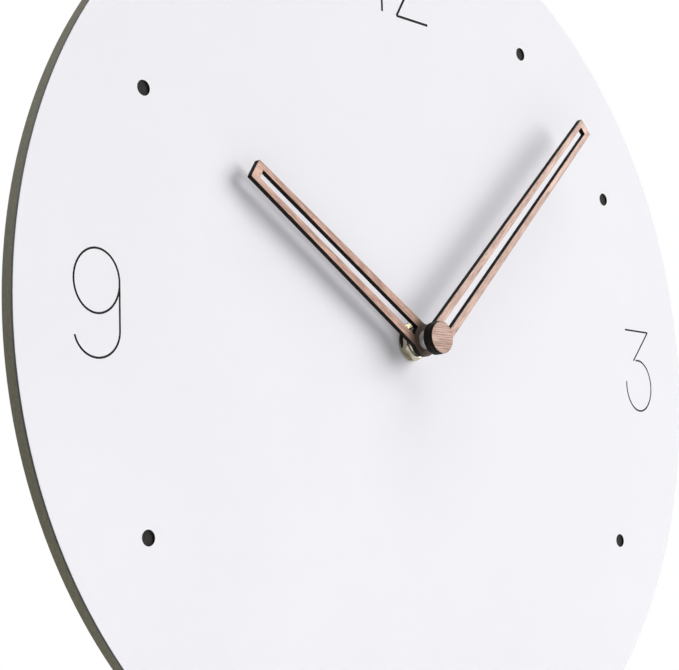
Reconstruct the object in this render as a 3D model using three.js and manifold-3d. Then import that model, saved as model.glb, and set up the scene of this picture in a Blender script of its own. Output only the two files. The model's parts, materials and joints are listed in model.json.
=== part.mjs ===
// Round wall clock: white-faced 300 mm board, slotted walnut hands, battery quartz movement.
// Millimetres, +Z up, +X towards three o'clock, the dial faces -Y and the wall is on the +Y side.
// The clock is laid out from the middle of the dial's front face. The whole assembly is then
// shifted so that the origin is where the wall nail bears in the hanger.
import * as THREE from 'three';
import { mergeVertices } from 'three/addons/utils/BufferGeometryUtils.js';
import Module from 'manifold-3d';

const wasm = await Module();
wasm.setup();

// ---------------------------------------------------------------- driving dimensions
// Dial board
const boardDiameter = 300;
const boardThickness = 5;
const laminateThickness = 0.8;
const engravingDepth = 0.45;
const markRadius = 123.4;
const uprightFigureRadius = 121;
const hourDotDiameter = 4.5;
const hourDotDepth = 0.6;
const figureHeight = 29.4;
const figureStroke = 0.7;
const twelveStroke = 0.95;

// Hands and cap, measured from the centre axis and from the dial's face
const handThickness = 1.8;
const hubRadius = 5.15;
const slotStart = 4.9;
const minuteHand = {
  angle: 45.1, length: 116.4, rootWidth: 8.7, tipWidth: 6.6,
  slotRootWidth: 3.35, slotTipWidth: 2.75, tipBar: 2.5, frontHeight: 11.4,
};
const hourHand = {
  angle: 301.7, length: 83.4, rootWidth: 8.55, tipWidth: 6.3,
  slotRootWidth: 3.2, slotTipWidth: 2.85, tipBar: 2.9, frontHeight: 5.9,
};
const capRadius = 5;
const capThickness = 1.5;
const colletRadius = 2.95;

// Centre fixing
const threadRadius = 3.95;
const nutAcrossFlats = 10.4;
const nutThickness = 2.3;
const nutWasherRadius = 6;
const nutWasherThickness = 0.5;
const bushProud = 0.4;
const rubberWasherRadius = 10;
const rubberWasherThickness = 1;

// Hanger
const hangerWidth = 24;
const hangerSheet = 0.8;
const hangerOffset = 4;
const nailHeight = 41;
const nailSlotWidth = 14;
const nailSlotHeight = 7;
const nailNotchRadius = 2.2;
const hangerTopBar = 5;

// Movement case: its width and depth come from the battery, and its foot from the train and bay
const caseHigh = 28;
const caseWall = 1.4;
const contactRoom = 2.7;
const partitionThickness = 1;
const caseCorner = 3;
const coverThickness = 1.2;
const knobRadius = 6.2;
const knobThickness = 1.3;

// Battery, size AA
const batteryRadius = 7.1;
const batteryLength = 50.5;
const batteryNub = 1;
const batteryNubRadius = 2.7;

// Shafts
const hourPipeRadius = 2.55;
const minuteArborRadius = 1.6;
const secondsArborRadius = 0.5;
const knobArborRadius = 1;
const smallArborRadius = 0.5;

// Gears: modules and teeth. The motion work gives 12:1 and the going train 1800:1.
const cannonTeeth = 12;
const minuteWheelTeeth = 36;
const minuteWheelPinionTeeth = 10;
const hourWheelTeeth = 40;
const motionModule = 0.45;
const centreWheelTeeth = 60;
const thirdPinionTeeth = 8;
const thirdWheelTeeth = 64;
const secondsPinionTeeth = 8;
const secondsWheelTeeth = 60;
const intermediatePinionTeeth = 10;
const intermediateWheelTeeth = 40;
const rotorPinionTeeth = 8;
const secondsModule = 0.25;
const rotorModule = 0.25;

// Clearances
const glueLine = 0.05;
const seat = 0.02;
const running = 0.08;
const endShake = 0.2;
const toothThinning = 0.1;
const arborClearance = 0.69;
const trainMargin = 1.1;
const batteryFit = 0.2;
const bushFit = 0.2;
const washerFit = 0.15;
const plateFit = 0.3;
// How far a pinion runs past the wheel that it drives and into the wheel that it carries.
const pinionOverlap = 0.2;
// How far a cutting tool runs past the face that it cuts.
const past = 1;

// ---------------------------------------------------------------- centre distances
// The third wheel's arbor just clears the hour wheel, and the tallest wheel sets the plates' height.
const addendum = 0.85;
const tipRadius = (teeth, module) => module * (teeth / 2 + addendum);
const motionDistance = motionModule * (cannonTeeth + minuteWheelTeeth) / 2;
const hourModule = 2 * motionDistance / (minuteWheelPinionTeeth + hourWheelTeeth);
const thirdDistance = tipRadius(hourWheelTeeth, hourModule) + smallArborRadius + arborClearance;
const centreModule = 2 * thirdDistance / (centreWheelTeeth + thirdPinionTeeth);
const thirdModule = 2 * thirdDistance / (thirdWheelTeeth + secondsPinionTeeth);
const intermediateDistance = secondsModule * (secondsWheelTeeth + intermediatePinionTeeth) / 2;
const rotorDistance = rotorModule * (intermediateWheelTeeth + rotorPinionTeeth) / 2;
const trainHalfHeight = tipRadius(thirdWheelTeeth, thirdModule) + trainMargin;

// ---------------------------------------------------------------- shape and solid helpers
// Number of sides on a full circle, by size of circle.
const FINE = 96;
const ROUND = 24;
const SMALL = 12;
const degrees = Math.PI / 180;

const circleAt = (x, z, radius) => {
  const path = new THREE.Path();
  path.absarc(x, z, radius, 0, 2 * Math.PI, false);
  return path;
};

const disc = (radius, holes = []) => {
  const shape = new THREE.Shape();
  shape.absarc(0, 0, radius, 0, 2 * Math.PI, false);
  shape.holes.push(...holes);
  return shape;
};

const polygon = (points) => new THREE.Shape(points.map(([x, z]) => new THREE.Vector2(x, z)));

const rectangle = (x0, z0, x1, z1) => polygon([[x0, z0], [x1, z0], [x1, z1], [x0, z1]]);

const roundedRectangle = (x0, z0, x1, z1, r) => {
  const shape = new THREE.Shape();
  shape.absarc(x1 - r, z1 - r, r, 0, 0.5 * Math.PI, false);
  shape.absarc(x0 + r, z1 - r, r, 0.5 * Math.PI, Math.PI, false);
  shape.absarc(x0 + r, z0 + r, r, Math.PI, 1.5 * Math.PI, false);
  shape.absarc(x1 - r, z0 + r, r, 1.5 * Math.PI, 2 * Math.PI, false);
  return shape;
};

// A flat piece parallel to the dial: its outline seen from the front, between two depths.
const slab = (shape, front, back, segments = ROUND) => {
  const geometry = new THREE.ExtrudeGeometry(shape, {
    depth: back - front, bevelEnabled: false, curveSegments: segments / 2,
  });
  geometry.rotateX(Math.PI / 2);
  geometry.translate(0, back, 0);
  return geometry;
};

// A turned piece about the Y axis: a closed outline of [radius, depth] points.
const turned = (points, segments = ROUND) => {
  let area = 0;
  points.forEach(([r, y], i) => {
    const [r2, y2] = points[(i + 1) % points.length];
    area += r * y2 - r2 * y;
  });
  const outline = area > 0 ? points : [...points].reverse();
  const onAxis = outline.filter(([r]) => r === 0).length > 0;
  let start = 0;
  if (onAxis) {
    start = outline.findIndex(([r], i) => r === 0 && outline.at(i - 1)[0] === 0);
  }
  const ordered = [...outline.slice(start), ...outline.slice(0, start)];
  if (!onAxis) {
    ordered.push(ordered[0]);
  }
  return new THREE.LatheGeometry(ordered.map(([r, y]) => new THREE.Vector2(r, y)), segments);
};

const rod = (radius, front, back, segments = SMALL) => turned(
  [[0, front], [radius, front], [radius, back], [0, back]], segments);

const tube = (inner, outer, front, back, segments = ROUND) => turned(
  [[inner, front], [outer, front], [outer, back], [inner, back]], segments);

const block = (x0, y0, z0, x1, y1, z1) => {
  const geometry = new THREE.BoxGeometry(x1 - x0, y1 - y0, z1 - z0);
  geometry.translate((x0 + x1) / 2, (y0 + y1) / 2, (z0 + z1) / 2);
  return geometry;
};

const moved = (geometry, x, y, z) => geometry.translate(x, y, z);

const solid = (source) => {
  const geometry = source.clone();
  geometry.deleteAttribute('normal');
  geometry.deleteAttribute('uv');
  const merged = mergeVertices(geometry, 1e-4);
  const index = merged.index.array;
  const triVerts = [];
  for (let i = 0; i < index.length; i += 3) {
    const [a, b, c] = [index[i], index[i + 1], index[i + 2]];
    if (a !== b && b !== c && c !== a) {
      triVerts.push(a, b, c);
    }
  }
  return new wasm.Manifold(new wasm.Mesh({
    numProp: 3,
    vertProperties: new Float32Array(merged.attributes.position.array),
    triVerts: new Uint32Array(triVerts),
  }));
};

const surface = (body) => {
  const mesh = body.getMesh();
  const geometry = new THREE.BufferGeometry();
  geometry.setAttribute('position', new THREE.BufferAttribute(mesh.vertProperties, 3));
  geometry.setIndex(new THREE.BufferAttribute(mesh.triVerts, 1));
  return geometry;
};

const join = (first, ...others) => surface(
  others.reduce((body, other) => body.add(solid(other)), solid(first)));

const cut = (first, ...tools) => surface(
  tools.reduce((body, tool) => body.subtract(solid(tool)), solid(first)));

// ---------------------------------------------------------------- materials
const finish = (color, roughness, metalness = 0) => ({ color, roughness, metalness });
const whiteLaminate = finish(0xf0f0f2, 0.55);
const fibreboard = finish(0x5f5d55, 0.85);
const walnut = finish(0xc9a28c, 0.6);
const brass = finish(0xc8b27a, 0.25, 1);
const aluminium = finish(0xc4c6c8, 0.3, 1);
const steel = finish(0x9a9da0, 0.35, 1);
const rubber = finish(0x1a1a1a, 0.9);
const blackPlastic = finish(0x17181a, 0.5);
const whitePlastic = finish(0xe6e4dc, 0.45);
const nylon = finish(0xd8d2c2, 0.5);
const ferrite = finish(0x3a3a3c, 0.4, 0.6);
const copper = finish(0xb5602c, 0.35, 1);
const greenBoard = finish(0x1f5a3a, 0.5);
const batteryWrap = finish(0x8d9196, 0.3, 0.4);

const piece = (name, geometry, look) => {
  const mesh = new THREE.Mesh(geometry, new THREE.MeshStandardMaterial(look));
  mesh.name = name;
  return mesh;
};

// ---------------------------------------------------------------- dial board
// The white laminate carries the engraving; the dark board behind it shows at the rim.
const boardRadius = boardDiameter / 2;
const bushHoleRadius = threadRadius + bushFit;

// A groove along a path, square at both ends.
const groove = (points, width) => {
  const half = width / 2;
  const sides = points.map((point, i) => {
    const before = points[Math.max(i - 1, 0)];
    const after = points[Math.min(i + 1, points.length - 1)];
    const normal = new THREE.Vector2(before.y - after.y, after.x - before.x).setLength(half);
    return [point.clone().add(normal), point.clone().sub(normal)];
  });
  return new THREE.Shape([...sides.map((pair) => pair[1]), ...sides.map((pair) => pair[0]).reverse()]);
};

const arcPoints = (x, z, rx, rz, from, to, steps = 16) => {
  const curve = new THREE.EllipseCurve(x, z, rx, rz, from * degrees, to * degrees, to < from);
  return curve.getPoints(steps);
};

const at = (x, z) => new THREE.Vector2(x, z);

// Each figure is a list of groove outlines about its own middle, in figure heights.
const halfFigure = figureHeight / 2;
const bowlHalfWidth = 0.258 * figureHeight;

const figureNine = () => {
  const loop = new THREE.Shape();
  const [rx, rz] = [bowlHalfWidth, 0.298 * figureHeight];
  const loopMiddle = halfFigure - rz;
  const half = figureStroke / 2;
  loop.absellipse(0, loopMiddle, rx + half, rz + half, 0, 2 * Math.PI, false);
  const inside = new THREE.Path();
  inside.absellipse(0, loopMiddle, rx - half, rz - half, 0, 2 * Math.PI, false);
  loop.holes.push(inside);
  const tail = [at(rx, loopMiddle), ...arcPoints(0, rx - halfFigure, rx, rx, 0, -165)];
  return [loop, groove(tail, figureStroke)];
};

const figureThree = () => {
  const barHalf = 0.24 * figureHeight;
  const bowlHalfHeight = 0.315 * figureHeight;
  const bowlMiddle = bowlHalfHeight - halfFigure;
  const bowlTop = bowlMiddle + bowlHalfHeight;
  const shoulder = at(-0.09 * figureHeight, bowlTop - 0.01 * figureHeight);
  const bowl = arcPoints(0, bowlMiddle, bowlHalfWidth, bowlHalfHeight, 100, -188);
  return [
    groove([at(-barHalf, halfFigure), at(barHalf, halfFigure), shoulder], figureStroke),
    groove([shoulder, ...bowl], figureStroke),
  ];
};

const figureTwelve = () => {
  const oneX = -0.3 * figureHeight;
  const one = groove([at(oneX, -halfFigure), at(oneX, halfFigure)], twelveStroke);
  const crownRadius = 0.22 * figureHeight;
  const crownX = 0.15 * figureHeight;
  const top = arcPoints(crownX, halfFigure - crownRadius, crownRadius, crownRadius, 170, -40);
  const foot = at(-0.07 * figureHeight, -halfFigure);
  const base = groove([foot, at(0.44 * figureHeight, -halfFigure)], twelveStroke);
  return [one, groove([...top, foot], twelveStroke), base];
};

const turnOver = (shapes) => shapes.map((shape) => {
  const { shape: points, holes } = shape.extractPoints(SMALL);
  const turnedShape = new THREE.Shape(points.map((p) => at(-p.x, -p.y)));
  holes.forEach((hole) => turnedShape.holes.push(new THREE.Path(hole.map((p) => at(-p.x, -p.y)))));
  return turnedShape;
});

const makeLaminate = () => {
  let body = solid(slab(disc(boardRadius, [circleAt(0, 0, bushHoleRadius)]), 0, laminateThickness, FINE));
  const figureSides = 32;
  const figures = [
    [figureTwelve(), 0, uprightFigureRadius],
    [figureThree(), markRadius, 0],
    [turnOver(figureNine()), 0, -uprightFigureRadius],
    [figureNine(), -markRadius, 0],
  ];
  figures.forEach(([outlines, x, z]) => {
    outlines.forEach((outline) => {
      const tool = moved(slab(outline, -past, engravingDepth, figureSides), x, 0, z);
      body = body.subtract(solid(tool));
    });
  });
  for (let hour = 1; hour < 12; hour += 1) {
    if (hour % 3 !== 0) {
      const turn = hour * 30 * degrees;
      const pit = rod(hourDotDiameter / 2, -past, hourDotDepth);
      moved(pit, markRadius * Math.sin(turn), 0, markRadius * Math.cos(turn));
      body = body.subtract(solid(pit));
    }
  }
  return surface(body);
};

const makeBoard = () => slab(
  disc(boardRadius, [circleAt(0, 0, bushHoleRadius)]),
  laminateThickness + glueLine, boardThickness, FINE);

// ---------------------------------------------------------------- depths, from the dial's face
const caseDepth = caseWall + 2 * batteryRadius + 2 * batteryFit;
const caseHalf = (batteryLength + contactRoom) / 2 + caseWall;
const caseInner = caseHalf - caseWall;
const hangerFront = boardThickness + glueLine;
const hangerBack = hangerFront + hangerSheet;
const rubberFront = hangerBack + glueLine;
const caseFront = rubberFront + rubberWasherThickness + glueLine;
const caseFloor = caseFront + caseWall;
const caseBack = caseFront + caseDepth;
const coverInner = caseBack - coverThickness;
const bushFlangeThickness = 0.6;
const flangeBack = caseFloor + seat + bushFlangeThickness;

const gearThickness = 1;
const wheelThickness = 0.8;
const clutchThickness = 0.3;
const plateThickness = 0.8;
const plateGap = 0.4;
const wheelGap = 0.7;
const bridgeGap = 0.6;
const bridgeThickness = 1;
const hourWheelFront = flangeBack + endShake;
const hourWheelBack = hourWheelFront + gearThickness;
const cannonFront = hourWheelBack + endShake;
const minuteWheelFront = cannonFront + pinionOverlap;
const minuteWheelBack = minuteWheelFront + gearThickness;
const cannonBack = minuteWheelBack + pinionOverlap;
const centreWheelFront = cannonBack + endShake;
const centreWheelBack = centreWheelFront + wheelThickness;
const clutchFront = centreWheelBack + glueLine;
const clutchBack = clutchFront + clutchThickness;
const middlePlateFront = clutchBack + plateGap;
const middlePlateBack = middlePlateFront + plateThickness;
const thirdWheelFront = middlePlateBack + plateGap;
const thirdWheelBack = thirdWheelFront + wheelThickness;
const secondsWheelFront = thirdWheelBack + wheelGap;
const secondsWheelBack = secondsWheelFront + wheelThickness;
const bridgeFront = secondsWheelBack + bridgeGap;
const bridgeBack = bridgeFront + bridgeThickness;
const pivotDepth = 0.5;
const pivotFront = caseFloor - pivotDepth;

// ---------------------------------------------------------------- arbor positions
// Directions seen from the front, anticlockwise from three o'clock.
const knobDirection = 0;
const thirdDirection = 180;
const intermediateDirection = 75;
const rotorDirection = 60;

const polar = (distance, direction) => ({
  x: distance * Math.cos(direction * degrees),
  z: distance * Math.sin(direction * degrees),
});
const knobAxis = polar(motionDistance, knobDirection);
const thirdAxis = polar(thirdDistance, thirdDirection);
const intermediateAxis = polar(intermediateDistance, intermediateDirection);
const rotorStep = polar(rotorDistance, rotorDirection);
const rotorAxis = { x: intermediateAxis.x + rotorStep.x, z: intermediateAxis.z + rotorStep.z };

// ---------------------------------------------------------------- gears
// Involute teeth, thinned for backlash. toothAt is the direction of one tooth's middle.
const pressureAngle = 20 * degrees;
const dedendum = 1.2;
const involute = (angle) => Math.tan(angle) - angle;

const gearOutline = (teeth, module, toothAt) => {
  const pitch = module * teeth / 2;
  const base = pitch * Math.cos(pressureAngle);
  const tip = tipRadius(teeth, module);
  const root = pitch - dedendum * module;
  const pitchHalf = Math.PI / (2 * teeth) - toothThinning / (2 * pitch);
  const halfAngle = (radius) => {
    const angle = Math.acos(Math.min(1, base / radius));
    return pitchHalf + involute(pressureAngle) - involute(angle);
  };
  const few = teeth <= cannonTeeth;
  const radii = few ? [root, pitch, tip] : [root, tip];
  const outline = [];
  for (let tooth = 0; tooth < teeth; tooth += 1) {
    const middle = toothAt * degrees + tooth * 2 * Math.PI / teeth;
    radii.forEach((r) => outline.push([r, middle - halfAngle(r)]));
    [...radii].reverse().forEach((r) => outline.push([r, middle + halfAngle(r)]));
  }
  return polygon(outline.map(([r, a]) => [r * Math.cos(a), r * Math.sin(a)]));
};

const gear = (teeth, module, toothAt, front, back, boreRadius = 0) => {
  const outline = gearOutline(teeth, module, toothAt);
  if (boreRadius > 0) {
    outline.holes.push(circleAt(0, 0, boreRadius));
  }
  return slab(outline, front, back);
};

// A wheel has a gap, and a pinion a tooth, on the line between the two centres.
const gapAt = (direction, teeth) => direction + 180 / teeth;

// ---------------------------------------------------------------- hands
const handOutline = (hand) => {
  const tipHalf = hand.tipWidth / 2;
  const shoulder = Math.asin(hand.rootWidth / 2 / hubRadius);
  const shape = new THREE.Shape();
  shape.moveTo(-tipHalf, hand.length);
  shape.absarc(0, 0, hubRadius, Math.PI / 2 + shoulder, Math.PI / 2 - shoulder + 2 * Math.PI, false);
  shape.lineTo(tipHalf, hand.length);
  return shape;
};

const handSlot = (hand) => {
  const slotEnd = hand.length - hand.tipBar;
  const rootHalf = hand.slotRootWidth / 2;
  const tipHalf = hand.slotTipWidth / 2;
  return polygon([
    [-rootHalf, slotStart], [rootHalf, slotStart], [tipHalf, slotEnd], [-tipHalf, slotEnd]]);
};

const handBlade = (hand) => {
  const front = -hand.frontHeight;
  const back = front + handThickness;
  return cut(
    slab(handOutline(hand), front, back, 2 * SMALL),
    slab(handSlot(hand), front - past, back + past),
    rod(colletRadius + seat, front - past, back + past, ROUND));
};

const hourColletFlange = 0.6;
const hourColletProud = 2;
const flangeRadius = colletRadius + 1.2;
const colletGap = 0.15;
const hourColletBack = -(hourHand.frontHeight - handThickness - hourColletFlange - seat);
const colletMeeting = -(hourHand.frontHeight + hourColletProud);

const hourCollet = () => turned([
  [hourPipeRadius + seat, colletMeeting],
  [colletRadius, colletMeeting],
  [colletRadius, hourColletBack - hourColletFlange],
  [flangeRadius, hourColletBack - hourColletFlange],
  [flangeRadius, hourColletBack],
  [hourPipeRadius + seat, hourColletBack],
]);

const minuteColletFront = -(minuteHand.frontHeight - glueLine);
const clutchRadius = 2.6;
const minuteCollet = () => tube(
  minuteArborRadius + seat, colletRadius, minuteColletFront, colletMeeting - colletGap);

const makeHourHand = () => {
  const group = new THREE.Group();
  const blade = piece('hour_hand', handBlade(hourHand), walnut);
  blade.rotation.y = hourHand.angle * degrees;
  const pipeFront = colletMeeting + endShake;
  const pipeRoot = hourWheelFront + gearThickness / 2;
  const boreRadius = minuteArborRadius + running;
  const wheel = gear(
    hourWheelTeeth, hourModule, gapAt(knobDirection, hourWheelTeeth),
    hourWheelFront, hourWheelBack, boreRadius);
  const pipe = tube(boreRadius, hourPipeRadius, pipeFront, pipeRoot);
  group.add(
    blade,
    piece('hour_hand_collet', hourCollet(), aluminium),
    piece('hour_wheel', join(wheel, pipe), nylon));
  return group;
};

const makeMinuteHand = () => {
  const group = new THREE.Group();
  const blade = piece('minute_hand', handBlade(minuteHand), walnut);
  blade.rotation.y = minuteHand.angle * degrees;
  const capBack = -minuteHand.frontHeight - glueLine;
  const cap = piece('hub_cap', rod(capRadius, capBack - capThickness, capBack, ROUND), walnut);
  const arborBore = secondsArborRadius + running;
  const pinion = gear(
    cannonTeeth, motionModule, knobDirection, cannonFront, cannonBack, arborBore);
  const arborFront = minuteColletFront + 0.25;
  const arborBack = clutchBack + plateGap / 2;
  const arbor = tube(arborBore, minuteArborRadius, arborFront, arborBack);
  const washer = tube(minuteArborRadius + seat, clutchRadius, clutchFront, clutchBack);
  group.add(
    blade,
    cap,
    piece('minute_hand_collet', minuteCollet(), aluminium),
    piece('cannon_pinion', join(pinion, arbor), brass),
    piece('clutch_washer', washer, steel));
  return group;
};

// ---------------------------------------------------------------- centre fixing
const nutBack = -(nutWasherThickness + glueLine);
const nutFront = nutBack - seat - nutThickness;

const bushFlangeRadius = threadRadius + 1.6;

const makeBush = () => turned([
  [hourPipeRadius + running, nutFront - bushProud],
  [threadRadius, nutFront - bushProud],
  [threadRadius, caseFloor + seat],
  [bushFlangeRadius, caseFloor + seat],
  [bushFlangeRadius, flangeBack],
  [hourPipeRadius + running, flangeBack],
]);

const hexNut = () => {
  const corner = nutAcrossFlats / 2 / Math.cos(30 * degrees);
  const corners = [90, 150, 210, 270, 330, 390].map((a) => [
    corner * Math.cos(a * degrees), corner * Math.sin(a * degrees)]);
  const hexagon = polygon(corners);
  hexagon.holes.push(circleAt(0, 0, threadRadius + seat));
  const chamferSlope = Math.tan(30 * degrees);
  const coneRadius = corner + past;
  const coneBack = nutFront + (coneRadius - nutAcrossFlats / 2) * chamferSlope;
  const cone = turned([
    [0, nutFront], [nutAcrossFlats / 2, nutFront], [coneRadius, coneBack],
    [coneRadius, nutBack + past], [0, nutBack + past],
  ], ROUND);
  return surface(solid(slab(hexagon, nutFront, nutBack - seat)).intersect(solid(cone)));
};

const makeCentreFixing = () => {
  const group = new THREE.Group();
  const washer = tube(threadRadius + washerFit, nutWasherRadius, nutBack, -glueLine);
  const cushion = tube(
    threadRadius + washerFit, rubberWasherRadius, rubberFront, rubberFront + rubberWasherThickness);
  group.add(
    piece('threaded_bush', makeBush(), brass),
    piece('nut_washer', washer, brass),
    piece('hex_nut', hexNut(), brass),
    piece('rubber_washer', cushion, rubber));
  return group;
};

// ---------------------------------------------------------------- hanger plate
// Steel sheet clamped between board and movement, stepped back above the case for the nail head.
const stepBottom = caseHigh + 1;
const stepThinning = 0.3;
const hangerTop = nailHeight + hangerTopBar;

const makeHanger = () => {
  const low = -hangerWidth / 2;
  const [frontUpper, backUpper] = [hangerFront + hangerOffset, hangerBack + hangerOffset];
  const stepTop = stepBottom + hangerOffset;
  const profile = polygon([
    [hangerFront, low], [hangerBack, low], [hangerBack, stepBottom],
    [backUpper, stepTop], [backUpper, hangerTop], [frontUpper, hangerTop],
    [frontUpper, stepTop + stepThinning], [hangerFront, stepBottom + stepThinning],
  ]);
  const strip = new THREE.ExtrudeGeometry(profile, { depth: hangerWidth, bevelEnabled: false });
  strip.applyMatrix4(new THREE.Matrix4().set(
    0, 0, 1, -hangerWidth / 2,
    1, 0, 0, 0,
    0, 1, 0, 0,
    0, 0, 0, 1));
  const slotTop = nailHeight - nailNotchRadius;
  const window = rectangle(
    -nailSlotWidth / 2, slotTop - nailSlotHeight, nailSlotWidth / 2, slotTop);
  const throughFront = hangerFront - past;
  const throughBack = backUpper + past;
  const notch = moved(
    rod(nailNotchRadius, throughFront, throughBack), 0, 0, nailHeight - nailNotchRadius);
  return cut(
    strip,
    rod(bushHoleRadius, throughFront, throughBack, ROUND),
    slab(window, throughFront, throughBack),
    notch);
};

// ---------------------------------------------------------------- movement case
const innerHigh = caseHigh - caseWall;
const plateMargin = 0.6;
const partitionHigh = -(trainHalfHeight + plateMargin);
const partitionLow = partitionHigh - partitionThickness;
const batteryZ = partitionLow - batteryFit - batteryRadius;
const batteryY = caseFloor + batteryFit + batteryRadius;
const bayLow = batteryZ - batteryRadius - batteryFit;
const caseLow = bayLow - caseWall;

const contactSheet = 0.3;
const contactGap = 0.1;
const dimpleHeight = 0.3;
const contactNotch = contactSheet + 2 * contactGap;

const pivotHoles = (front, back) => [
  [knobAxis, knobArborRadius],
  [thirdAxis, smallArborRadius],
  [rotorAxis, smallArborRadius],
].map(([axis, radius]) => moved(rod(radius + running, front, back), axis.x, 0, axis.z));

const postRadius = 1.8;
const postX = caseInner - postRadius - 1.3;
const postZ = trainHalfHeight - postRadius - 0.1;
const postRoot = 0.3;
const posts = [
  { x: -postX, z: postZ }, { x: postX, z: postZ }, { x: -postX, z: -postZ }, { x: postX, z: -postZ },
];
const peg = 0.8;

const makeFrontCase = () => {
  const outside = slab(
    roundedRectangle(-caseHalf, caseLow, caseHalf, caseHigh, caseCorner),
    caseFront, coverInner - seat, SMALL);
  const roomAbove = block(
    -caseInner, caseFloor, partitionHigh, caseInner, coverInner + past, innerHigh);
  const bay = block(-caseInner, caseFloor, bayLow, caseInner, coverInner + past, partitionLow);
  const notchAt = (x) => block(
    x, caseFloor + past, partitionLow - past,
    x + contactNotch, coverInner + past, partitionHigh + past);
  const bushHole = rod(threadRadius + seat, caseFront - past, caseFloor + past, ROUND);
  const holes = pivotHoles(pivotFront - endShake, caseFloor + past);
  const shell = cut(
    outside, roomAbove, bay, notchAt(-caseInner), notchAt(caseInner - contactNotch),
    bushHole, ...holes);
  const columns = posts.map(({ x, z }) => moved(
    join(
      rod(postRadius, caseFloor - postRoot, middlePlateFront - seat),
      rod(peg, caseFloor, bridgeFront - seat)), x, 0, z));
  return join(shell, ...columns);
};

const wellRadius = knobRadius + 0.8;
const wellWall = 1;
const wellRecess = 0.4;
const knobLift = 0.15;
const wellFloorBack = caseBack - knobThickness - knobLift - endShake;

const makeBackCover = () => {
  const plate = slab(
    roundedRectangle(-caseHalf, partitionLow, caseHalf, caseHigh, caseCorner),
    coverInner, caseBack, SMALL);
  const cup = moved(
    tube(knobArborRadius + running, wellRadius + wellWall, wellFloorBack - wellWall, caseBack - wellRecess),
    knobAxis.x, 0, knobAxis.z);
  const wellSpace = moved(
    rod(wellRadius, wellFloorBack, caseBack + past, ROUND), knobAxis.x, 0, knobAxis.z);
  const arborHole = moved(
    rod(knobArborRadius + running, wellFloorBack - wellWall - past, caseBack), knobAxis.x, 0, knobAxis.z);
  const lipDepth = 1.5;
  const lipFit = 0.15;
  const lipWall = 1;
  const lipX = caseInner - lipFit;
  const lipLow = partitionHigh + lipFit;
  const lipHigh = innerHigh - lipFit;
  const lip = cut(
    block(-lipX, coverInner - lipDepth, lipLow, lipX, coverInner + postRoot, lipHigh),
    block(-lipX + lipWall, coverInner - lipDepth - past, lipLow + lipWall,
      lipX - lipWall, coverInner + past, lipHigh - lipWall));
  return cut(join(plate, cup, lip), wellSpace, arborHole);
};

// Flat plates that carry the arbors between the two case halves.
const plateHalfWidth = caseInner - 1;
const plateOutline = (high) => roundedRectangle(
  -plateHalfWidth, -trainHalfHeight, plateHalfWidth, high, 1);

const makeMiddlePlate = () => {
  const through = (radius, axis, sides = SMALL) => moved(
    rod(radius, middlePlateFront - past, middlePlateBack + past, sides), axis.x, 0, axis.z);
  const centreHoleRadius = 3.4;
  const thirdHoleRadius = 2;
  return cut(
    slab(plateOutline(trainHalfHeight), middlePlateFront, middlePlateBack, SMALL),
    through(centreHoleRadius, { x: 0, z: 0 }, ROUND),
    through(thirdHoleRadius, thirdAxis),
    through(knobArborRadius + plateFit, knobAxis),
    through(smallArborRadius + running, intermediateAxis),
    ...posts.map((post) => through(peg + seat, post)));
};

const makeBridge = () => {
  const bridgeMargin = 2.5;
  const plate = slab(
    plateOutline(rotorAxis.z + bridgeMargin), bridgeFront, bridgeBack, SMALL);
  const through = (radius, axis) => moved(
    rod(radius, bridgeFront - past, bridgeBack + past), axis.x, 0, axis.z);
  const sockets = posts.map((post) => moved(
    rod(postRadius, middlePlateBack + seat, bridgeFront + postRoot), post.x, 0, post.z));
  const bores = posts.map((post) => moved(
    rod(peg + seat, middlePlateBack - past, bridgeFront + postRoot), post.x, 0, post.z));
  return cut(
    join(plate, ...sockets),
    ...bores,
    through(secondsArborRadius + running, { x: 0, z: 0 }),
    through(smallArborRadius + running, thirdAxis),
    through(smallArborRadius + running, intermediateAxis),
    through(smallArborRadius + running, rotorAxis),
    through(knobArborRadius + plateFit, knobAxis));
};

// ---------------------------------------------------------------- motion work and knob
const makeKnobTrain = () => {
  const group = new THREE.Group();
  group.position.set(knobAxis.x, 0, knobAxis.z);
  const wheel = gear(
    minuteWheelTeeth, motionModule, gapAt(knobDirection + 180, minuteWheelTeeth),
    minuteWheelFront, minuteWheelBack);
  const pinion = gear(
    minuteWheelPinionTeeth, hourModule, knobDirection + 180,
    hourWheelFront - pinionOverlap, minuteWheelFront + pinionOverlap);
  const knobFront = wellFloorBack + knobLift;
  const recess = 0.4;
  const arborBack = knobFront + recess - endShake;
  const arbor = rod(knobArborRadius, pivotFront, arborBack);
  const knobHubRadius = knobArborRadius + 0.6;
  const knobBack = knobFront + knobThickness;
  const grips = [];
  const gripCount = 16;
  const gripRadius = 0.6;
  const gripCentre = knobRadius + 0.25;
  for (let i = 0; i < gripCount; i += 1) {
    const turn = i * 2 * Math.PI / gripCount;
    grips.push(moved(
      rod(gripRadius, knobFront - past, knobBack + past, SMALL),
      gripCentre * Math.cos(turn), 0, gripCentre * Math.sin(turn)));
  }
  const knob = cut(
    turned([
      [0, knobFront + recess], [knobHubRadius, knobFront + recess],
      [knobHubRadius, knobFront], [knobRadius, knobFront],
      [knobRadius, knobBack], [0, knobBack],
    ]),
    ...grips);
  group.add(
    piece('minute_wheel', join(wheel, pinion, arbor), nylon),
    piece('setting_knob', knob, whitePlastic));
  return group;
};

// ---------------------------------------------------------------- going train
const makeCentreWheel = () => piece(
  'centre_wheel',
  gear(centreWheelTeeth, centreModule, gapAt(thirdDirection, centreWheelTeeth),
    centreWheelFront, centreWheelBack, minuteArborRadius + running),
  nylon);

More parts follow.
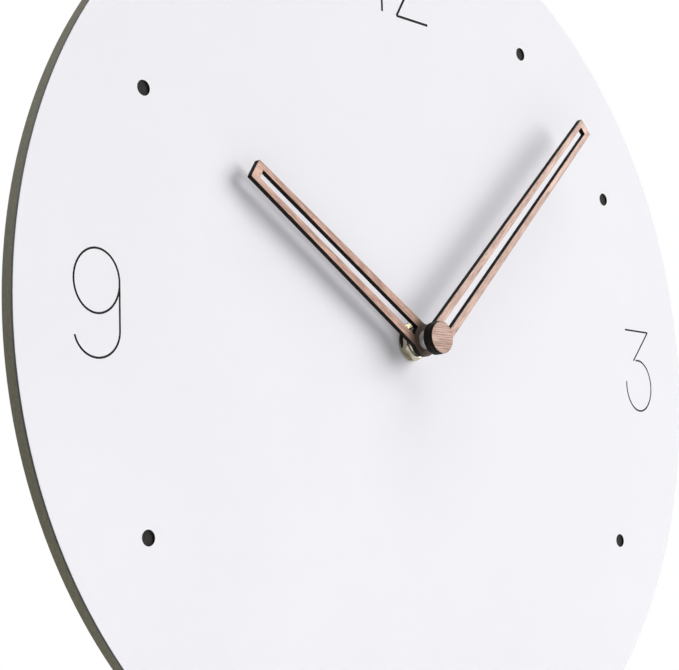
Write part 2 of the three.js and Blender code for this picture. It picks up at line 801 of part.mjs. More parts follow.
const makeThirdWheel = () => {
  const wheel = gear(
    thirdWheelTeeth, thirdModule, gapAt(thirdDirection + 180, thirdWheelTeeth),
    thirdWheelFront, thirdWheelBack);
  const pinion = gear(
    thirdPinionTeeth, centreModule, thirdDirection + 180,
    centreWheelFront - pinionOverlap, thirdWheelFront + pinionOverlap);
  const arbor = rod(smallArborRadius, pivotFront, bridgeBack);
  const mesh = piece('third_wheel', join(wheel, pinion, arbor), nylon);
  mesh.position.set(thirdAxis.x, 0, thirdAxis.z);
  return mesh;
};

const makeSecondsWheel = () => {
  const wheel = gear(
    secondsWheelTeeth, secondsModule, gapAt(intermediateDirection, secondsWheelTeeth),
    secondsWheelFront, secondsWheelBack);
  const pinion = gear(
    secondsPinionTeeth, thirdModule, thirdDirection,
    thirdWheelFront - pinionOverlap, secondsWheelFront + pinionOverlap);
  const arbor = rod(secondsArborRadius, 0, bridgeBack);
  return piece('seconds_wheel', join(wheel, pinion, arbor), nylon);
};

const makeIntermediateWheel = () => {
  const wheel = gear(
    intermediateWheelTeeth, rotorModule, gapAt(rotorDirection, intermediateWheelTeeth),
    thirdWheelFront, thirdWheelBack);
  const pinion = gear(
    intermediatePinionTeeth, secondsModule, intermediateDirection + 180,
    thirdWheelBack - pinionOverlap, secondsWheelBack + pinionOverlap);
  const arbor = rod(smallArborRadius, middlePlateFront + running, bridgeBack);
  const mesh = piece('intermediate_wheel', join(wheel, pinion, arbor), nylon);
  mesh.position.set(intermediateAxis.x, 0, intermediateAxis.z);
  return mesh;
};

// ---------------------------------------------------------------- stepper motor
const magnetRadius = 3;
const magnetLength = 3;
const magnetFront = caseFloor + 2;
const magnetBack = magnetFront + magnetLength;
const airGap = 0.45;
const statorRing = 1.3;
const statorSheet = 0.8;
const statorBack = centreWheelFront - endShake;
const statorFront = statorBack - statorSheet;
const coilZ = 22;
const coilLeft = 0;
const coilLength = 22;
const coilEnd = 3.4;

const makeRotor = () => {
  const group = new THREE.Group();
  group.position.set(rotorAxis.x, 0, rotorAxis.z);
  const magnet = tube(smallArborRadius + seat, magnetRadius, magnetFront, magnetBack);
  const pinion = gear(
    rotorPinionTeeth, rotorModule, rotorDirection + 180,
    thirdWheelFront - pinionOverlap, thirdWheelBack + pinionOverlap);
  const arbor = rod(smallArborRadius, pivotFront, bridgeBack);
  group.add(
    piece('rotor_magnet', magnet, ferrite),
    piece('rotor_pinion', join(pinion, arbor), nylon));
  return group;
};

const makeMotor = () => {
  const group = new THREE.Group();
  const coilRight = coilLeft + coilLength;
  const armHalf = 1.6;
  const ring = moved(
    rod(magnetRadius + airGap + statorRing, statorFront, statorBack, ROUND),
    rotorAxis.x, 0, rotorAxis.z);
  const hole = moved(
    rod(magnetRadius + airGap, statorFront - past, statorBack + past, ROUND),
    rotorAxis.x, 0, rotorAxis.z);
  const leftArm = block(
    coilLeft, statorFront, rotorAxis.z, coilLeft + 2 * armHalf, statorBack, coilZ + armHalf);
  const rightArm = block(
    coilRight - 2 * armHalf, statorFront, rotorAxis.z - armHalf, coilRight, statorBack,
    coilZ + armHalf);
  const crossArm = block(
    rotorAxis.x, statorFront, rotorAxis.z - armHalf, coilRight - armHalf, statorBack,
    rotorAxis.z + armHalf);
  const stator = cut(join(ring, leftArm, rightArm, crossArm), hole);

  const coreFront = statorBack + seat;
  const coreBack = coreFront + statorSheet;
  const core = block(coilLeft, coreFront, coilZ - armHalf, coilRight, coreBack, coilZ + armHalf);
  const bobbinLeft = coilLeft + coilEnd;
  const bobbinRight = coilRight - coilEnd;
  const middleY = (coreFront + coreBack) / 2;
  const collar = (x0, x1, halfY, halfZ) => block(
    x0, middleY - halfY, coilZ - halfZ, x1, middleY + halfY, coilZ + halfZ);
  const flange = 0.8;
  const flangeHalf = 3;
  const bobbinWall = 0.5;
  const wallHalfY = statorSheet / 2 + bobbinWall;
  const wallHalfZ = armHalf + bobbinWall;
  const windingHalf = flangeHalf - 0.2;
  const slot = collar(
    bobbinLeft - past, bobbinRight + past, statorSheet / 2 + seat, armHalf + seat);
  const bobbin = cut(
    join(
      collar(bobbinLeft, bobbinLeft + flange, flangeHalf, flangeHalf),
      collar(bobbinRight - flange, bobbinRight, flangeHalf, flangeHalf),
      collar(bobbinLeft + flange / 2, bobbinRight - flange / 2, wallHalfY, wallHalfZ)),
    slot);
  const winding = cut(
    collar(bobbinLeft + flange + seat, bobbinRight - flange - seat, windingHalf, windingHalf),
    collar(bobbinLeft, bobbinRight, wallHalfY + seat, wallHalfZ + seat));
  group.add(
    piece('stator', stator, steel),
    piece('coil_core', core, steel),
    piece('coil_bobbin', bobbin, blackPlastic),
    piece('coil_winding', winding, copper));
  return group;
};

// ---------------------------------------------------------------- circuit board
const pcb = {
  left: -caseInner + 2, right: -2.5, low: trainHalfHeight + 2, high: innerHigh - 1, thickness: 0.8,
};
const pcbFront = caseFloor + 4;
const pcbBack = pcbFront + pcb.thickness;

const makeCircuit = () => {
  const group = new THREE.Group();
  const board = block(pcb.left, pcbFront, pcb.low, pcb.right, pcbBack, pcb.high);
  const canRadius = 1;
  const canLength = 6;
  const can = new THREE.CylinderGeometry(canRadius, canRadius, canLength, SMALL);
  can.rotateZ(Math.PI / 2);
  const crystal = piece('crystal_can', can, steel);
  crystal.position.set(-8, pcbBack + glueLine + canRadius, 23);
  const blobRadius = 2.6;
  const blobFoot = pcbBack + glueLine;
  const blob = piece('chip_blob', turned([
    [0, blobFoot], [blobRadius, blobFoot], [0.85 * blobRadius, pcbBack + 0.7],
    [blobRadius / 2, pcbBack + 1.1], [0, pcbBack + 1.2],
  ]), blackPlastic);
  blob.position.set(-15, 0, 18);
  group.add(piece('circuit_board', board, greenBoard), crystal, blob);
  return group;
};

// ---------------------------------------------------------------- battery and contacts
const contactHalfWidth = 3.5;
const stripWidth = 3;
const stripFront = pcbBack + glueLine;
const tabLength = 3;
const batteryLeft = -caseInner + contactGap + contactSheet + dimpleHeight + glueLine;
const batteryRight = batteryLeft + batteryLength;

// Each contact is folded from one strip: a face on the bay's end wall, a riser up the side wall
// through a notch in the partition, and a tab soldered to the back of the circuit board.
const makeContacts = () => {
  const group = new THREE.Group();
  const strip = (x0, z0, x1, z1) => block(x0, stripFront, z0, x1, stripFront + stripWidth, z1);
  const tab = (x0, z0, x1, z1) => block(x0, stripFront, z0, x1, stripFront + contactSheet, z1);
  const faceAt = (x) => block(
    x, batteryY - contactHalfWidth, batteryZ - contactHalfWidth,
    x + contactSheet, batteryY + contactHalfWidth, batteryZ + contactHalfWidth);

  const plusX = -caseInner + contactGap;
  const plusTop = pcb.low + tabLength + 1;
  const dimpleLength = dimpleHeight + contactSheet / 2;
  const dimpleRadius = 1.6;
  const dimpleFoot = 2.2;
  const dimple = new THREE.CylinderGeometry(dimpleRadius, dimpleFoot, dimpleLength, SMALL);
  dimple.rotateZ(-Math.PI / 2);
  dimple.translate(plusX + contactSheet / 2 + dimpleLength / 2, batteryY, batteryZ);
  const plus = join(
    faceAt(plusX),
    dimple,
    strip(plusX, batteryZ, plusX + contactSheet, plusTop),
    tab(plusX, plusTop - tabLength, pcb.left + 2, plusTop));

  const minusX = caseInner - contactGap;
  const ceiling = innerHigh - contactGap;
  const leafWidth = 5;
  const leafHalf = contactHalfWidth - 0.3;
  const crownHalf = 1.2;
  const leafRoot = minusX - contactSheet / 3;
  const crown = batteryRight + glueLine;
  const leaf = polygon([
    [leafRoot, -leafHalf], [leafRoot - contactSheet, -leafHalf],
    [crown, -crownHalf], [crown, crownHalf],
    [leafRoot - contactSheet, leafHalf], [leafRoot, leafHalf],
    [crown + contactSheet, crownHalf + 0.1], [crown + contactSheet, -crownHalf - 0.1],
  ]);
  const spring = moved(slab(leaf, batteryY - leafWidth / 2, batteryY + leafWidth / 2), 0, 0, batteryZ);
  const tabRight = pcb.right - 2;
  const minus = join(
    faceAt(minusX - contactSheet),
    spring,
    strip(minusX - contactSheet, batteryZ, minusX, ceiling),
    strip(tabRight - tabLength, ceiling - contactSheet, minusX, ceiling),
    tab(tabRight - tabLength, pcb.high - 2, tabRight, ceiling));
  group.add(
    piece('positive_contact', plus, steel),
    piece('negative_contact', minus, steel));
  return group;
};

const makeBattery = () => {
  const group = new THREE.Group();
  group.position.set(batteryLeft, batteryY, batteryZ);
  group.rotation.z = -Math.PI / 2;
  const edge = 0.6;
  const topRadius = batteryNubRadius + 1.6;
  const topFace = batteryNub + 0.15;
  const topRim = batteryNub - 0.1;
  const cellTop = topFace + glueLine;
  const cell = turned([
    [0, cellTop], [batteryRadius - edge, cellTop],
    [batteryRadius, cellTop + edge], [batteryRadius, batteryLength - edge],
    [batteryRadius - edge, batteryLength], [0, batteryLength],
  ]);
  const terminal = turned([
    [0, 0], [batteryNubRadius, 0], [batteryNubRadius, topRim],
    [topRadius, topRim], [topRadius, topFace], [0, topFace],
  ]);
  group.add(
    piece('battery_cell', cell, batteryWrap),
    piece('battery_terminal', terminal, steel));
  return group;
};

// ---------------------------------------------------------------- assembly
const clock = new THREE.Group();
const nailDepth = hangerFront + hangerOffset + hangerSheet / 2;
clock.position.set(0, -nailDepth, -nailHeight);
clock.add(
  piece('dial_laminate', makeLaminate(), whiteLaminate),
  piece('dial_board', makeBoard(), fibreboard),
  piece('hanger_plate', makeHanger(), steel),
  makeCentreFixing(),
  piece('front_case', makeFrontCase(), blackPlastic),
  piece('middle_plate', makeMiddlePlate(), blackPlastic),
  piece('train_bridge', makeBridge(), blackPlastic),
  piece('back_cover', makeBackCover(), blackPlastic),
  makeHourHand(),
  makeMinuteHand(),
  makeKnobTrain(),
  makeCentreWheel(),
  makeThirdWheel(),
  makeSecondsWheel(),
  makeIntermediateWheel(),
  makeRotor(),
  makeMotor(),
  makeCircuit(),
  makeContacts(),
  makeBattery());

const group = new THREE.Group();
group.add(clock);

export default group;
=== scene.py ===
import json
import math

import bpy
from mathutils import Matrix, Vector


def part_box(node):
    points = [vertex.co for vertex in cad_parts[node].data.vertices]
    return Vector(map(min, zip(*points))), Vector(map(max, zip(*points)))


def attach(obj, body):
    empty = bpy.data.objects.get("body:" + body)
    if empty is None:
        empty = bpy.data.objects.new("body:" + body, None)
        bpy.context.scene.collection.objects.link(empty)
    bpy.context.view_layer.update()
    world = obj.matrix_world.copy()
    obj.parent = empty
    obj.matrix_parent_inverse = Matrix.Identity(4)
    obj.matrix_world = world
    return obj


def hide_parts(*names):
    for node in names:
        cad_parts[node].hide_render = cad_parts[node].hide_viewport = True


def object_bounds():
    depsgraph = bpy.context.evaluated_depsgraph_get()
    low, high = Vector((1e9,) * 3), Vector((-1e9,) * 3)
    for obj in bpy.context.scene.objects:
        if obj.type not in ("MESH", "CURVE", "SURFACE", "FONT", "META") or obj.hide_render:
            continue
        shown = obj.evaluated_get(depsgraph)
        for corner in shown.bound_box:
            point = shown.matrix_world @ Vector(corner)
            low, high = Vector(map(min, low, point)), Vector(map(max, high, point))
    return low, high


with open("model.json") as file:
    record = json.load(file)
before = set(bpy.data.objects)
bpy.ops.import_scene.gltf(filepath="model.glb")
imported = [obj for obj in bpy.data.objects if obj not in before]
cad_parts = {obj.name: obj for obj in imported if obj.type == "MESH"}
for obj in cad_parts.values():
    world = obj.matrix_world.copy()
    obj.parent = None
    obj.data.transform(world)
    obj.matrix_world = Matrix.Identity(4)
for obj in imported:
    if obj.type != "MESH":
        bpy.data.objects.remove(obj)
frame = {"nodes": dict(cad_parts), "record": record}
cad_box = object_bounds()
MM = 0.001

# ---------------------------------------------------------------- studio
# A pale floor below the clock and a white surround, which lights the clock only faintly. One large
# soft light stands far off to the right and in front, with small ones above and behind. The camera is
# close to the left of the dial with a long lens, a little below the dial's middle.
hub_joint = next(j for j in frame["record"]["behaviour"]["joints"] if j["name"] == "minute_hand_turn")
hub = Vector((hub_joint["pos_m"][0], 0, hub_joint["pos_m"][2]))
face_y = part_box("dial_laminate")[0][1]
dial_middle = hub + Vector((0, face_y, 0))


def aimed(place, target, roll=0.0):
    """The placement of a camera or light that looks at a target."""
    turn = (target - place).to_track_quat("-Z", "Y").to_matrix().to_4x4()
    return Matrix.Translation(place) @ turn @ Matrix.Rotation(roll, 4, "Z")


lens = bpy.data.cameras.new("camera")
lens.lens = 90.7
lens.sensor_width = 36
lens.shift_y = 0.0253
lens.clip_end = 20
camera = bpy.data.objects.new("camera", lens)
bpy.context.collection.objects.link(camera)
camera_from_middle = Vector((-396.7, -356.0, -77.7)) * MM
aim_from_middle = Vector((-32.5, 0, -5.8)) * MM
camera_roll = math.radians(-1.55)
camera.matrix_world = aimed(
    dial_middle + camera_from_middle, dial_middle + aim_from_middle, camera_roll)
bpy.context.scene.camera = camera


def soft_light(name, direction, distance, size, watts, colour=(1, 1, 1)):
    data = bpy.data.lights.new(name, "AREA")
    data.shape = "DISK"
    data.size = size
    data.energy = watts
    data.color = colour
    light = bpy.data.objects.new(name, data)
    bpy.context.collection.objects.link(light)
    light.matrix_world = aimed(dial_middle + Vector(direction).normalized() * distance, dial_middle)


soft_light(
    "key_light", (0.92, -1.0, 0.38), distance=6.0, size=5.0, watts=380, colour=(1.0, 0.99, 0.985))
soft_light("top_light", (0.1, -0.5, 1.0), distance=1.6, size=1.2, watts=8)
soft_light("back_light", (-0.5, 1.0, 0.6), distance=1.6, size=1.0, watts=12)


def add_node(tree, kind, **settings):
    """A node, with each setting given to the attribute or else the input of that name."""
    node = tree.nodes.new(kind)
    for key, value in settings.items():
        if hasattr(node, key):
            setattr(node, key, value)
        else:
            node.inputs[key.replace("_", " ")].default_value = value
    return node


def wire(tree, links):
    """Joins nodes, each link given as (from node, its output, to node, its input)."""
    for start, output, end, socket in links:
        tree.links.new(start.outputs[output], end.inputs[socket])


# The surround is white to the camera. As light it is faint, faintest from the left and in front, and
# strong only from nearly straight above and below.
world = bpy.data.worlds.new("white_surround")
bpy.context.scene.world = world
world.use_nodes = True
sky = world.node_tree
sky.nodes.clear()
sky_out = add_node(sky, "ShaderNodeOutputWorld")
seen = add_node(sky, "ShaderNodeBackground", Color=(1, 1, 1, 1), Strength=1.0)
fill = add_node(sky, "ShaderNodeBackground", Color=(0.96, 0.97, 1.0, 1))
around = add_node(sky, "ShaderNodeTexCoord")
towards = add_node(sky, "ShaderNodeVectorMath", operation="DOT_PRODUCT")
towards.inputs[1].default_value = (-0.80, -0.55, 0.24)
dimmed = add_node(
    sky, "ShaderNodeMapRange", From_Min=-0.2, From_Max=0.75, To_Min=0.05, To_Max=0.015)
steep = add_node(sky, "ShaderNodeVectorMath", operation="DOT_PRODUCT")
steep.inputs[1].default_value = (0, 0, 1)
steepness = add_node(sky, "ShaderNodeMath", operation="ABSOLUTE")
raised = add_node(sky, "ShaderNodeMapRange", From_Min=0.84, From_Max=0.96, To_Max=2.0)
strength = add_node(sky, "ShaderNodeMath", operation="ADD")
ray = add_node(sky, "ShaderNodeLightPath")
choice = add_node(sky, "ShaderNodeMixShader")
wire(sky, [
    (around, "Generated", towards, 0), (around, "Generated", steep, 0),
    (steep, "Value", steepness, 0), (steepness, 0, raised, "Value"),
    (towards, "Value", dimmed, "Value"), (dimmed, 0, strength, 0), (raised, 0, strength, 1),
    (strength, 0, fill, "Strength"), (ray, "Is Camera Ray", choice, 0),
    (fill, 0, choice, 1), (seen, 0, choice, 2), (choice, 0, sky_out, "Surface")])
bpy.context.scene.view_settings.view_transform = "Standard"

floor_radius = 1.1
floor_height = cad_box[0][2] - 20 * MM
bpy.ops.mesh.primitive_circle_add(
    vertices=96, radius=floor_radius, fill_type="NGON", location=(0, 0, floor_height))
floor = bpy.context.object
floor.name = "studio_floor"

# ---------------------------------------------------------------- dial board
# The core of the dial: a 4 mm disc of dark dyed fibreboard, routed round, its rim sanded and its
# back corner eased. The white laminate is glued to its front.


def select_only(*pieces):
    """Selects just these pieces and makes the first of them active."""
    bpy.ops.object.select_all(action="DESELECT")
    for piece in pieces:
        piece.select_set(True)
    bpy.context.view_layer.objects.active = pieces[0]


def finish_modifier(piece, kind, **settings):
    """Adds a modifier to a piece and applies it."""
    select_only(piece)
    modifier = piece.modifiers.new(kind.lower(), kind)
    for key, value in settings.items():
        setattr(modifier, key, value)
    bpy.ops.object.modifier_apply(modifier=modifier.name)


def outline_ring(name, points):
    """A ring of vertices, one for each (x, y, z), made from a circle."""
    bpy.ops.mesh.primitive_circle_add(vertices=len(points), radius=0.01, fill_type="NOTHING")
    ring = bpy.context.object
    ring.name = name
    for vertex, point in zip(ring.data.vertices, points):
        vertex.co = point
    return ring


def turned(name, profile, steps=128):
    """Spins a closed profile of (radius, y) about the hands' axis."""
    piece = outline_ring(name, [(hub.x + r, y, hub.z) for r, y in profile])
    on_axis = [r < 1e-9 for r, _ in profile]
    bpy.ops.object.mode_set(mode="EDIT")
    bpy.ops.mesh.select_all(action="DESELECT")
    bpy.ops.object.mode_set(mode="OBJECT")
    for edge in piece.data.edges:
        edge.select = all(on_axis[i] for i in edge.vertices)
    bpy.ops.object.mode_set(mode="EDIT")
    bpy.ops.mesh.select_mode(type="EDGE")
    if any(on_axis):
        bpy.ops.mesh.delete(type="EDGE")
    bpy.ops.mesh.select_all(action="SELECT")
    bpy.ops.mesh.spin(
        steps=steps, angle=2 * math.pi, center=(hub.x, 0, hub.z), axis=(0, 1, 0))
    bpy.ops.mesh.select_all(action="SELECT")
    bpy.ops.mesh.remove_doubles(threshold=1e-6)
    bpy.ops.mesh.normals_make_consistent(inside=False)
    bpy.ops.object.mode_set(mode="OBJECT")
    return piece


def complete(piece, name, body, slot, material, *nodes, smooth=35):
    """Names and shades a piece, gives it its material, and says what it rides and replaces."""
    select_only(piece)
    piece.name = name
    bpy.ops.object.transform_apply(location=True, rotation=True, scale=True)
    bpy.ops.object.shade_smooth_by_angle(angle=math.radians(smooth))
    finish_modifier(piece, "WEIGHTED_NORMAL", keep_sharp=True)
    piece.data.materials.clear()
    piece.data.materials.append(material)
    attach(piece, body)
    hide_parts(*nodes)


def reach(node):
    """A CAD node's front and back y, and half its width, which is the radius of a turned one."""
    low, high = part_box(node)
    return low[1], high[1], (high[0] - low[0]) / 2


def new_material(name, colour, roughness, metallic=0.0):
    material = bpy.data.materials.new(name)
    material.use_nodes = True
    tree = material.node_tree
    shader = tree.nodes["Principled BSDF"]
    shader.inputs["Base Color"].default_value = (*colour, 1)
    shader.inputs["Roughness"].default_value = roughness
    shader.inputs["Metallic"].default_value = metallic
    material.diffuse_color = (*colour, 1)
    return material, tree, shader


def new_group(name, inputs, outputs):
    """A node group with typed sockets: {"Name": ("Float", default)}."""
    tree = bpy.data.node_groups.new(name, "ShaderNodeTree")
    for label, (kind, default) in inputs.items():
        socket = tree.interface.new_socket(label, in_out="INPUT", socket_type="NodeSocket" + kind)
        socket.default_value = default
    for label, kind in outputs.items():
        tree.interface.new_socket(label, in_out="OUTPUT", socket_type="NodeSocket" + kind)
    return tree, tree.nodes.new("NodeGroupInput"), tree.nodes.new("NodeGroupOutput")


def place_group(tree, group, **values):
    """A node that uses a group, with its inputs set."""
    node = tree.nodes.new("ShaderNodeGroup")
    node.node_tree = group
    for label, value in values.items():
        node.inputs[label.replace("_", " ")].default_value = value
    return node


# Slow and fast variation of a worked surface: tone, gloss and a fine relief.
surface_tone, tone_in, tone_out = new_group(
    "surface_tone",
    {"Colour": ("Color", (0.8, 0.8, 0.8, 1)), "Tone": ("Float", 0.1), "Patch Scale": ("Float", 60.0),
     "Gloss": ("Float", 0.5), "Gloss Spread": ("Float", 0.1), "Grain Scale": ("Float", 4000.0),
     "Relief": ("Float", 0.1), "Stretch": ("Vector", (1.0, 1.0, 1.0))},
    {"Colour": "Color", "Roughness": "Float", "Normal": "Vector"})
where = add_node(surface_tone, "ShaderNodeTexCoord")
stretched = add_node(surface_tone, "ShaderNodeVectorMath", operation="MULTIPLY")
patches = add_node(surface_tone, "ShaderNodeTexNoise", Detail=4.0, Roughness=0.6)
grain = add_node(surface_tone, "ShaderNodeTexNoise", Detail=2.0, Roughness=0.5)
tone_range = add_node(surface_tone, "ShaderNodeMapRange", From_Min=0.3, From_Max=0.7)
low_tone = add_node(surface_tone, "ShaderNodeMath", operation="SUBTRACT")
low_tone.inputs[0].default_value = 1.0
high_tone = add_node(surface_tone, "ShaderNodeMath", operation="ADD")
high_tone.inputs[0].default_value = 1.0
toned = add_node(surface_tone, "ShaderNodeVectorMath", operation="SCALE")
gloss_low = add_node(surface_tone, "ShaderNodeMath", operation="SUBTRACT")
gloss_high = add_node(surface_tone, "ShaderNodeMath", operation="ADD")
gloss_range = add_node(surface_tone, "ShaderNodeMapRange", From_Min=0.3, From_Max=0.7)
relief = add_node(surface_tone, "ShaderNodeBump", Distance=0.0001)
wire(surface_tone, [
    (where, "Object", stretched, 0), (tone_in, "Stretch", stretched, 1),
    (stretched, 0, patches, "Vector"), (stretched, 0, grain, "Vector"),
    (tone_in, "Patch Scale", patches, "Scale"), (tone_in, "Grain Scale", grain, "Scale"),
    (tone_in, "Tone", low_tone, 1), (tone_in, "Tone", high_tone, 1),
    (patches, "Fac", tone_range, "Value"), (low_tone, 0, tone_range, "To Min"),
    (high_tone, 0, tone_range, "To Max"), (tone_in, "Colour", toned, 0),
    (tone_range, 0, toned, "Scale"), (toned, 0, tone_out, "Colour"),
    (tone_in, "Gloss", gloss_low, 0), (tone_in, "Gloss Spread", gloss_low, 1),
    (tone_in, "Gloss", gloss_high, 0), (tone_in, "Gloss Spread", gloss_high, 1),
    (grain, "Fac", gloss_range, "Value"), (gloss_low, 0, gloss_range, "To Min"),
    (gloss_high, 0, gloss_range, "To Max"), (gloss_range, 0, tone_out, "Roughness"),
    (grain, "Fac", relief, "Height"), (tone_in, "Relief", relief, "Strength"),
    (relief, "Normal", tone_out, "Normal")])


def toned_material(name, colour, roughness, metallic=0.0, specular=0.5, **values):
    """A material whose colour, gloss and relief come from surface_tone."""
    material, tree, shader = new_material(name, colour, roughness, metallic)
    shader.inputs["Specular IOR Level"].default_value = specular
    tone = place_group(tree, surface_tone, Colour=(*colour, 1), Gloss=roughness, **values)
    wire(tree, [
        (tone, "Colour", shader, "Base Color"), (tone, "Roughness", shader, "Roughness"),
        (tone, "Normal", shader, "Normal")])
    return material


core_front, core_back, core_radius = reach("dial_board")
eased = 0.3 * MM
fixing_hole = 4.15 * MM
core = turned("core", [
    (fixing_hole, core_front), (core_radius, core_front),
    (core_radius, core_back - eased), (core_radius - 0.3 * eased, core_back - 0.3 * eased),
    (core_radius - eased, core_back), (fixing_hole, core_back)], steps=256)
fibreboard = toned_material(
    "dark_fibreboard", (0.196, 0.187, 0.124), 0.78, Tone=0.16, Patch_Scale=900.0,
    Gloss_Spread=0.08, Grain_Scale=5200.0, Relief=0.5)
complete(core, "fibreboard_core", "clock", "fibreboard", fibreboard, "dial_board", smooth=15)

# ---------------------------------------------------------------- dial face
# A 0.8 mm laminate, satin white on a slate grey paper core that shows at the rim. The figures are
# thin strokes and the hour dots flat pits, all laser burnt, so the cuts are near black.
face_front, face_back, face_radius = reach("dial_laminate")
lip = 0.18 * MM
laminate = turned("laminate", [
    (fixing_hole, face_front), (face_radius - lip, face_front),
    (face_radius - 0.3 * lip, face_front + 0.3 * lip), (face_radius, face_front + lip),
    (face_radius, face_back), (fixing_hole, face_back)], steps=256)

figure_height = 29.4 * MM
side_figure_radius = 123.4 * MM
upright_figure_radius = 121.0 * MM
dot_radius = 2.25 * MM
dot_depth = 0.6 * MM
stroke_raised = 0.04 * MM
thin_stroke = 0.64 * MM
bold_stroke = 0.88 * MM


def arc(x, z, rx, rz, start, end, steps=28):
    """Points (x, z) along part of an ellipse, from one angle to another in degrees."""
    return [
        (x + rx * math.cos(math.radians(start + (end - start) * i / steps)),
         z + rz * math.sin(math.radians(start + (end - start) * i / steps)))
        for i in range(steps + 1)]


def stroke(points, width, middle, closed=False, sign=1):
    """A round cutter along a path of (x, z) about a middle on the dial, turned over by sign -1."""
    path = bpy.data.curves.new("stroke", "CURVE")
    path.dimensions = "3D"
    path.bevel_depth = width / 2
    path.bevel_resolution = 4
    path.use_fill_caps = not closed
    line = path.splines.new("POLY")
    line.points.add(len(points) - 1)
    line.use_cyclic_u = closed
    for point, (x, z) in zip(line.points, points):
        point.co = (middle[0] + sign * x, face_front - stroke_raised, middle[1] + sign * z, 1)
    cutter = bpy.data.objects.new("stroke", path)
    bpy.context.collection.objects.link(cutter)
    select_only(cutter)
    bpy.ops.object.convert(target="MESH")
    return bpy.context.object


# The 9, and the 6, which is the 9 turned half round: a loop and a tail that is part of a circle.
cutters = []
half_height = figure_height / 2
loop_rx, loop_rz = 0.258 * figure_height, 0.298 * figure_height
loop_z = half_height - loop_rz
tail_z = loop_rx - half_height
nine_place = (hub.x - side_figure_radius, hub.z)
six_place = (hub.x, hub.z - upright_figure_radius)
for sign, place in [(1, nine_place), (-1, six_place)]:
    loop = arc(0, loop_z, loop_rx, loop_rz, 0, 352.5, 47)
    tail = [(loop_rx, loop_z)] + arc(0, tail_z, loop_rx, loop_rx, 0, -165)
    cutters.append(stroke(loop, thin_stroke, place, closed=True, sign=sign))
    cutters.append(stroke(tail, thin_stroke, place, sign=sign))

# The 3, with a flat top, a slanting stroke and a bowl.
bowl_rz = 0.315 * figure_height
bowl_z = bowl_rz - half_height
bar_half = 0.24 * figure_height
shoulder = (-0.09 * figure_height, bowl_z + bowl_rz - 0.01 * figure_height)
three_place = (hub.x + side_figure_radius, hub.z)
cutters.append(stroke([(-bar_half, half_height), (bar_half, half_height)], thin_stroke, three_place))
cutters.append(stroke([(bar_half, half_height), shoulder], thin_stroke, three_place))
cutters.append(stroke(arc(0, bowl_z, loop_rx, bowl_rz, 100, -188, 40), thin_stroke, three_place))

# The 12, cut with a wider stroke.
crown_radius = 0.22 * figure_height
crown = (0.15 * figure_height, half_height - crown_radius)
foot = (-0.07 * figure_height, -half_height)
one_x = -0.3 * figure_height
twelve_place = (hub.x, hub.z + upright_figure_radius)
cutters.append(stroke([(one_x, -half_height), (one_x, half_height)], bold_stroke, twelve_place))
crown_and_neck = arc(*crown, crown_radius, crown_radius, 170, -40) + [foot]
cutters.append(stroke(crown_and_neck, bold_stroke, twelve_place))
cutters.append(stroke([foot, (0.44 * figure_height, -half_height)], bold_stroke, twelve_place))

# A dot at each of the other hours.
for hour in range(1, 12):
    if hour % 3:
        turn = math.radians(30 * hour)
        bpy.ops.mesh.primitive_cylinder_add(
            vertices=48, radius=dot_radius, depth=2 * dot_depth, rotation=(math.pi / 2, 0, 0),
            location=(hub.x + side_figure_radius * math.sin(turn), face_front,
                      hub.z + side_figure_radius * math.cos(turn)))
        cutters.append(bpy.context.object)

select_only(*cutters)
bpy.ops.object.join()
all_cuts = bpy.context.object
finish_modifier(laminate, "BOOLEAN", operation="DIFFERENCE", solver="EXACT",
                use_self=True, object=all_cuts)
bpy.data.objects.remove(all_cuts)

white_laminate = toned_material(
    "white_laminate", (0.80, 0.795, 0.83), 0.75, specular=0.03, Tone=0.012, Patch_Scale=14.0,
    Gloss_Spread=0.05, Grain_Scale=2600.0, Relief=0.06)
burnt_cut = toned_material(
    "burnt_cut", (0.013, 0.0105, 0.008), 0.85, Tone=0.5, Patch_Scale=1500.0,
    Gloss_Spread=0.08, Grain_Scale=7000.0, Relief=0.8)
slate_core = toned_material(
    "slate_laminate_core", (0.085, 0.090, 0.094), 0.7, Tone=0.1, Patch_Scale=700.0,
    Gloss_Spread=0.06, Grain_Scale=4200.0, Relief=0.3)
complete(
    laminate, "dial_face", "clock", "white_laminate", white_laminate, "dial_laminate", smooth=15)
laminate.data.materials.append(burnt_cut)
laminate.data.materials.append(slate_core)
figures_from = 0.5 * face_radius
rim_from = 0.99 * face_radius
for polygon in laminate.data.polygons:
    out = math.hypot(polygon.center.x - hub.x, polygon.center.z - hub.z)
    in_cut = face_front + 0.01 * MM < polygon.center.y < face_back - 0.05 * MM
    if in_cut and figures_from < out < rim_from:
        polygon.material_index = 1
    if out > rim_from and polygon.normal.y > -0.9:
        polygon.material_index = 2

# ---------------------------------------------------------------- centre fixing
# A flat washer of dull brass, a chamfered hexagon nut of pale brass, and the threaded brass bush that
# comes up through the board. The rubber washer behind the board keeps the movement from turning.
brass = toned_material(
    "pale_brass", (0.68, 0.63, 0.50), 0.13, 1.0, Tone=0.08, Patch_Scale=500.0,
    Gloss_Spread=0.04, Grain_Scale=3000.0, Relief=0.05)
dull_brass = toned_material(
    "dull_brass", (0.36, 0.335, 0.235), 0.22, 1.0, Tone=0.15, Patch_Scale=600.0,
    Gloss_Spread=0.07, Grain_Scale=3000.0, Relief=0.1)
chamfer = 0.12 * MM


def ring_profile(inner, outer, front, back, chamfer_by=chamfer):
    return [
        (inner, front + chamfer_by), (inner + chamfer_by, front), (outer - chamfer_by, front),
        (outer, front + chamfer_by), (outer, back - chamfer_by), (outer - chamfer_by, back),
        (inner + chamfer_by, back), (inner, back - chamfer_by)]


